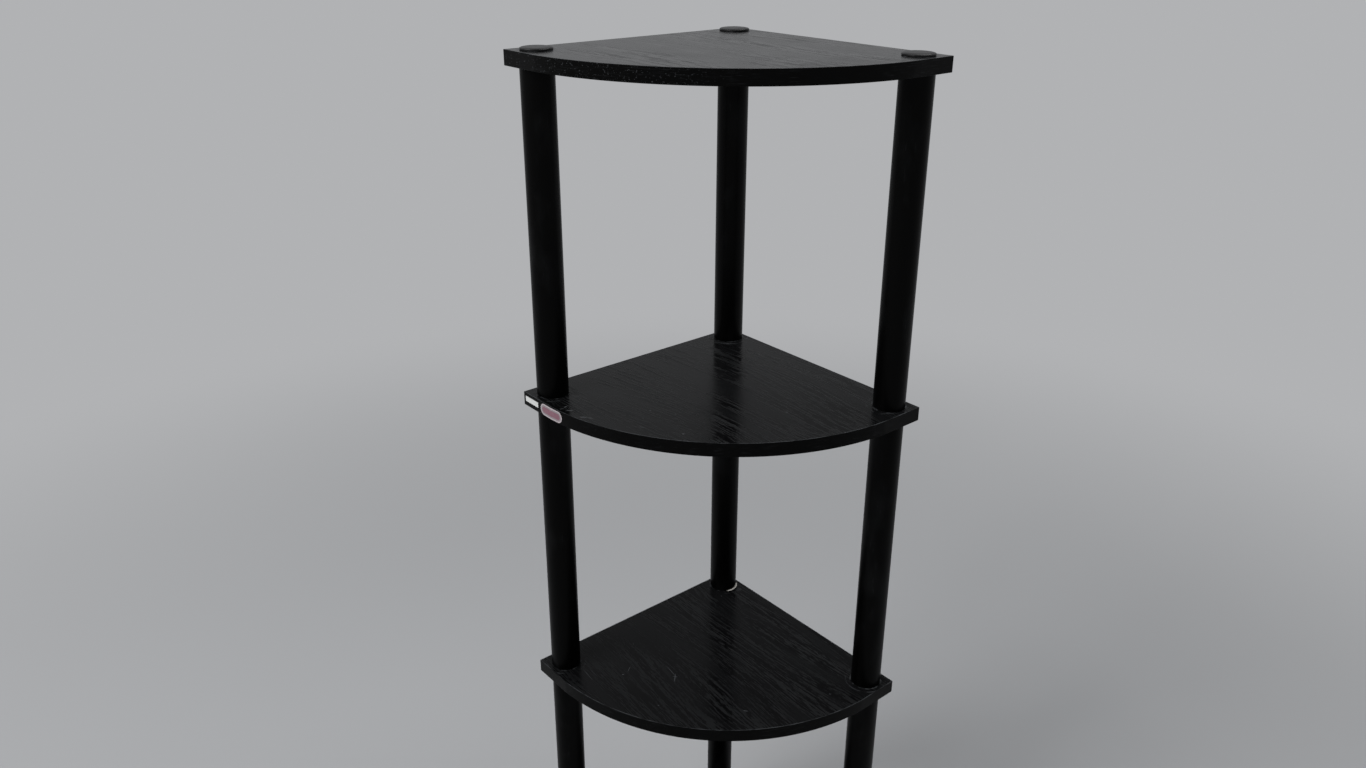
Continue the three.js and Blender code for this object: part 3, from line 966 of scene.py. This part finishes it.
class SHELF_OT_boards(bpy.types.Operator):
    """Four quarter-round boards"""

    bl_idname = "corner_shelf.boards"
    bl_label = "Shelf boards"

    def execute(self, context):
        values = settings(context)
        material = embossed_laminate(values.finish)
        for level in LEVELS:
            node = f"shelf_{level}"
            low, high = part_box(node)
            bm = board_mesh(values.shelf, low.z, high.z - low.z)
            finish_piece(f"board_{level}", bm, [material], node)
        return {"FINISHED"}


class SHELF_OT_edge_bands(bpy.types.Operator):
    """Plastic strip round each board"""

    bl_idname = "corner_shelf.edge_bands"
    bl_label = "Edge bands"

    def execute(self, context):
        values = settings(context)
        material = edge_band_plastic(values.finish)
        for level in LEVELS:
            node = f"edge_band_{level}"
            low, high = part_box(node)
            bm = band_mesh(values.shelf, low.z, high.z - low.z)
            finish_piece(f"band_{level}", bm, [material], node)
        return {"FINISHED"}


class SHELF_OT_tubes(bpy.types.Operator):
    """Nine tubes in three columns"""

    bl_idname = "corner_shelf.tubes"
    bl_label = "Tubes"

    def execute(self, context):
        values = settings(context)
        material = extruded_tube(values.finish)
        for side, axis in COLUMNS.items():
            for bay in BAYS:
                node = f"tube_{bay}_{side}"
                low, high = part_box(node)
                bm = tube_mesh(values.column, axis, low.z, high.z)
                finish_piece(f"round_{node}", bm, [material], node)
        return {"FINISHED"}


class SHELF_OT_fittings(bpy.types.Operator):
    """Moulded screw fittings: top caps, feet and the inserts inside the tubes"""

    bl_idname = "corner_shelf.fittings"
    bl_label = "Caps, feet and inserts"

    def execute(self, context):
        values = settings(context)
        material = moulded_plastic(values.finish)
        for side, axis in COLUMNS.items():
            cap = cap_mesh(values.column, axis)
            finish_piece(f"top_cap_{side}", cap, [material], f"cap_{side}")
            foot = foot_mesh(values.column, axis)
            finish_piece(f"round_foot_{side}", foot, [material], f"foot_{side}")
        for name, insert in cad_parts.items():
            if name.startswith(("tube_stud_", "tube_socket_")):
                insert.data.materials.clear()
                insert.data.materials.append(material)
        return {"FINISHED"}


class SHELF_OT_stickers(bpy.types.Operator):
    """Plain white strip and plain round-ended sticker on the upper shelf's left front edge"""

    bl_idname = "corner_shelf.stickers"
    bl_label = "Stickers"

    def execute(self, context):
        values = settings(context)
        self.add_strip(values)
        self.add_pill(values)
        return {"FINISHED"}

    def add_strip(self, values):
        finish, label = values.finish, values.label
        low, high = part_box("paper_strip_label")
        bm = bmesh.new()
        bmesh.ops.create_grid(bm, x_segments=1, y_segments=1, size=0.5)
        scale = (label.strip_length, high.z - low.z, 1)
        bmesh.ops.scale(bm, vec=scale, verts=bm.verts[:])
        shift = (label.strip_from_tip + label.strip_length / 2, 0, label.lift)
        bmesh.ops.translate(bm, vec=shift, verts=bm.verts[:])
        soften_corners(bm, label.corner, label.corner_steps)
        raise_faces(bm, bm.faces[:], label.thickness)
        bend_round_edge(bm, values.shelf, (low.z + high.z) / 2)
        paper = sticker("uncoated_white_paper", finish.paper, finish.worn_paper, 0.7)
        finish_piece("white_strip", bm, [paper], "paper_strip_label")

    def add_pill(self, values):
        finish, label = values.finish, values.label
        low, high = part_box("pill_label")
        radius = (high.z - low.z) / 2
        start = label.pill_from_tip
        bm = bmesh.new()
        bmesh.ops.create_circle(bm, cap_ends=True, radius=radius, segments=label.round_steps)
        right_half = [corner for corner in bm.verts if corner.co.x > TOUCH]
        stretch = (label.pill_length - 2 * radius, 0, 0)
        bmesh.ops.translate(bm, vec=stretch, verts=right_half)
        bmesh.ops.translate(bm, vec=(start + radius, 0, label.lift), verts=bm.verts[:])
        field = bm.faces[:][0]
        inset(bm, field, label.pill_rim)
        for ring in inset(bm, field, label.pill_line):
            ring.material_index = 1
        field.material_index = 2
        slice_along(bm, start, start + label.pill_length, label.bend_steps)
        raise_faces(bm, bm.faces[:], label.thickness)
        bend_round_edge(bm, values.shelf, (low.z + high.z) / 2)
        silver = sticker("silver_ink_border", finish.silver, finish.worn_silver, 0.4)
        pale = sticker("pale_ink_line", finish.pale_line, finish.worn_line, 0.5)
        rose = sticker("faded_rose_ink", finish.rose, finish.worn_rose, 0.5)
        finish_piece("round_ended_sticker", bm, [silver, pale, rose], "pill_label")


class SHELF_PT_panel(bpy.types.Panel):
    """The unit's pieces and settings"""

    bl_label = "Corner Shelf Unit"
    bl_idname = "SHELF_PT_panel"
    bl_space_type = "VIEW_3D"
    bl_region_type = "UI"
    bl_category = "Corner Shelf"

    def draw(self, context):
        layout = self.layout
        for operator in OPERATORS:
            layout.operator(operator.bl_idname)
        values = settings(context)
        for group in (values.shelf, values.column, values.label, values.finish, values.studio):
            box = layout.box()
            for name in group.bl_rna.properties.keys():
                if name not in ("rna_type", "name"):
                    box.prop(group, name)


GROUPS = (ShelfSizes, ColumnSizes, LabelSizes, Finishes, StudioSettings, CornerShelf)
OPERATORS = (
    SHELF_OT_studio,
    SHELF_OT_boards,
    SHELF_OT_edge_bands,
    SHELF_OT_tubes,
    SHELF_OT_fittings,
    SHELF_OT_stickers,
)


def register():
    for each in (*GROUPS, *OPERATORS, SHELF_PT_panel):
        bpy.utils.register_class(each)
    bpy.types.Scene.corner_shelf = PointerProperty(type=CornerShelf)


def unregister():
    del bpy.types.Scene.corner_shelf
    for each in reversed((*GROUPS, *OPERATORS, SHELF_PT_panel)):
        bpy.utils.unregister_class(each)


def main():
    register()
    bpy.ops.corner_shelf.studio()
    bpy.ops.corner_shelf.boards()
    bpy.ops.corner_shelf.edge_bands()
    bpy.ops.corner_shelf.tubes()
    bpy.ops.corner_shelf.fittings()
    bpy.ops.corner_shelf.stickers()


if __name__ == "__main__":
    main()
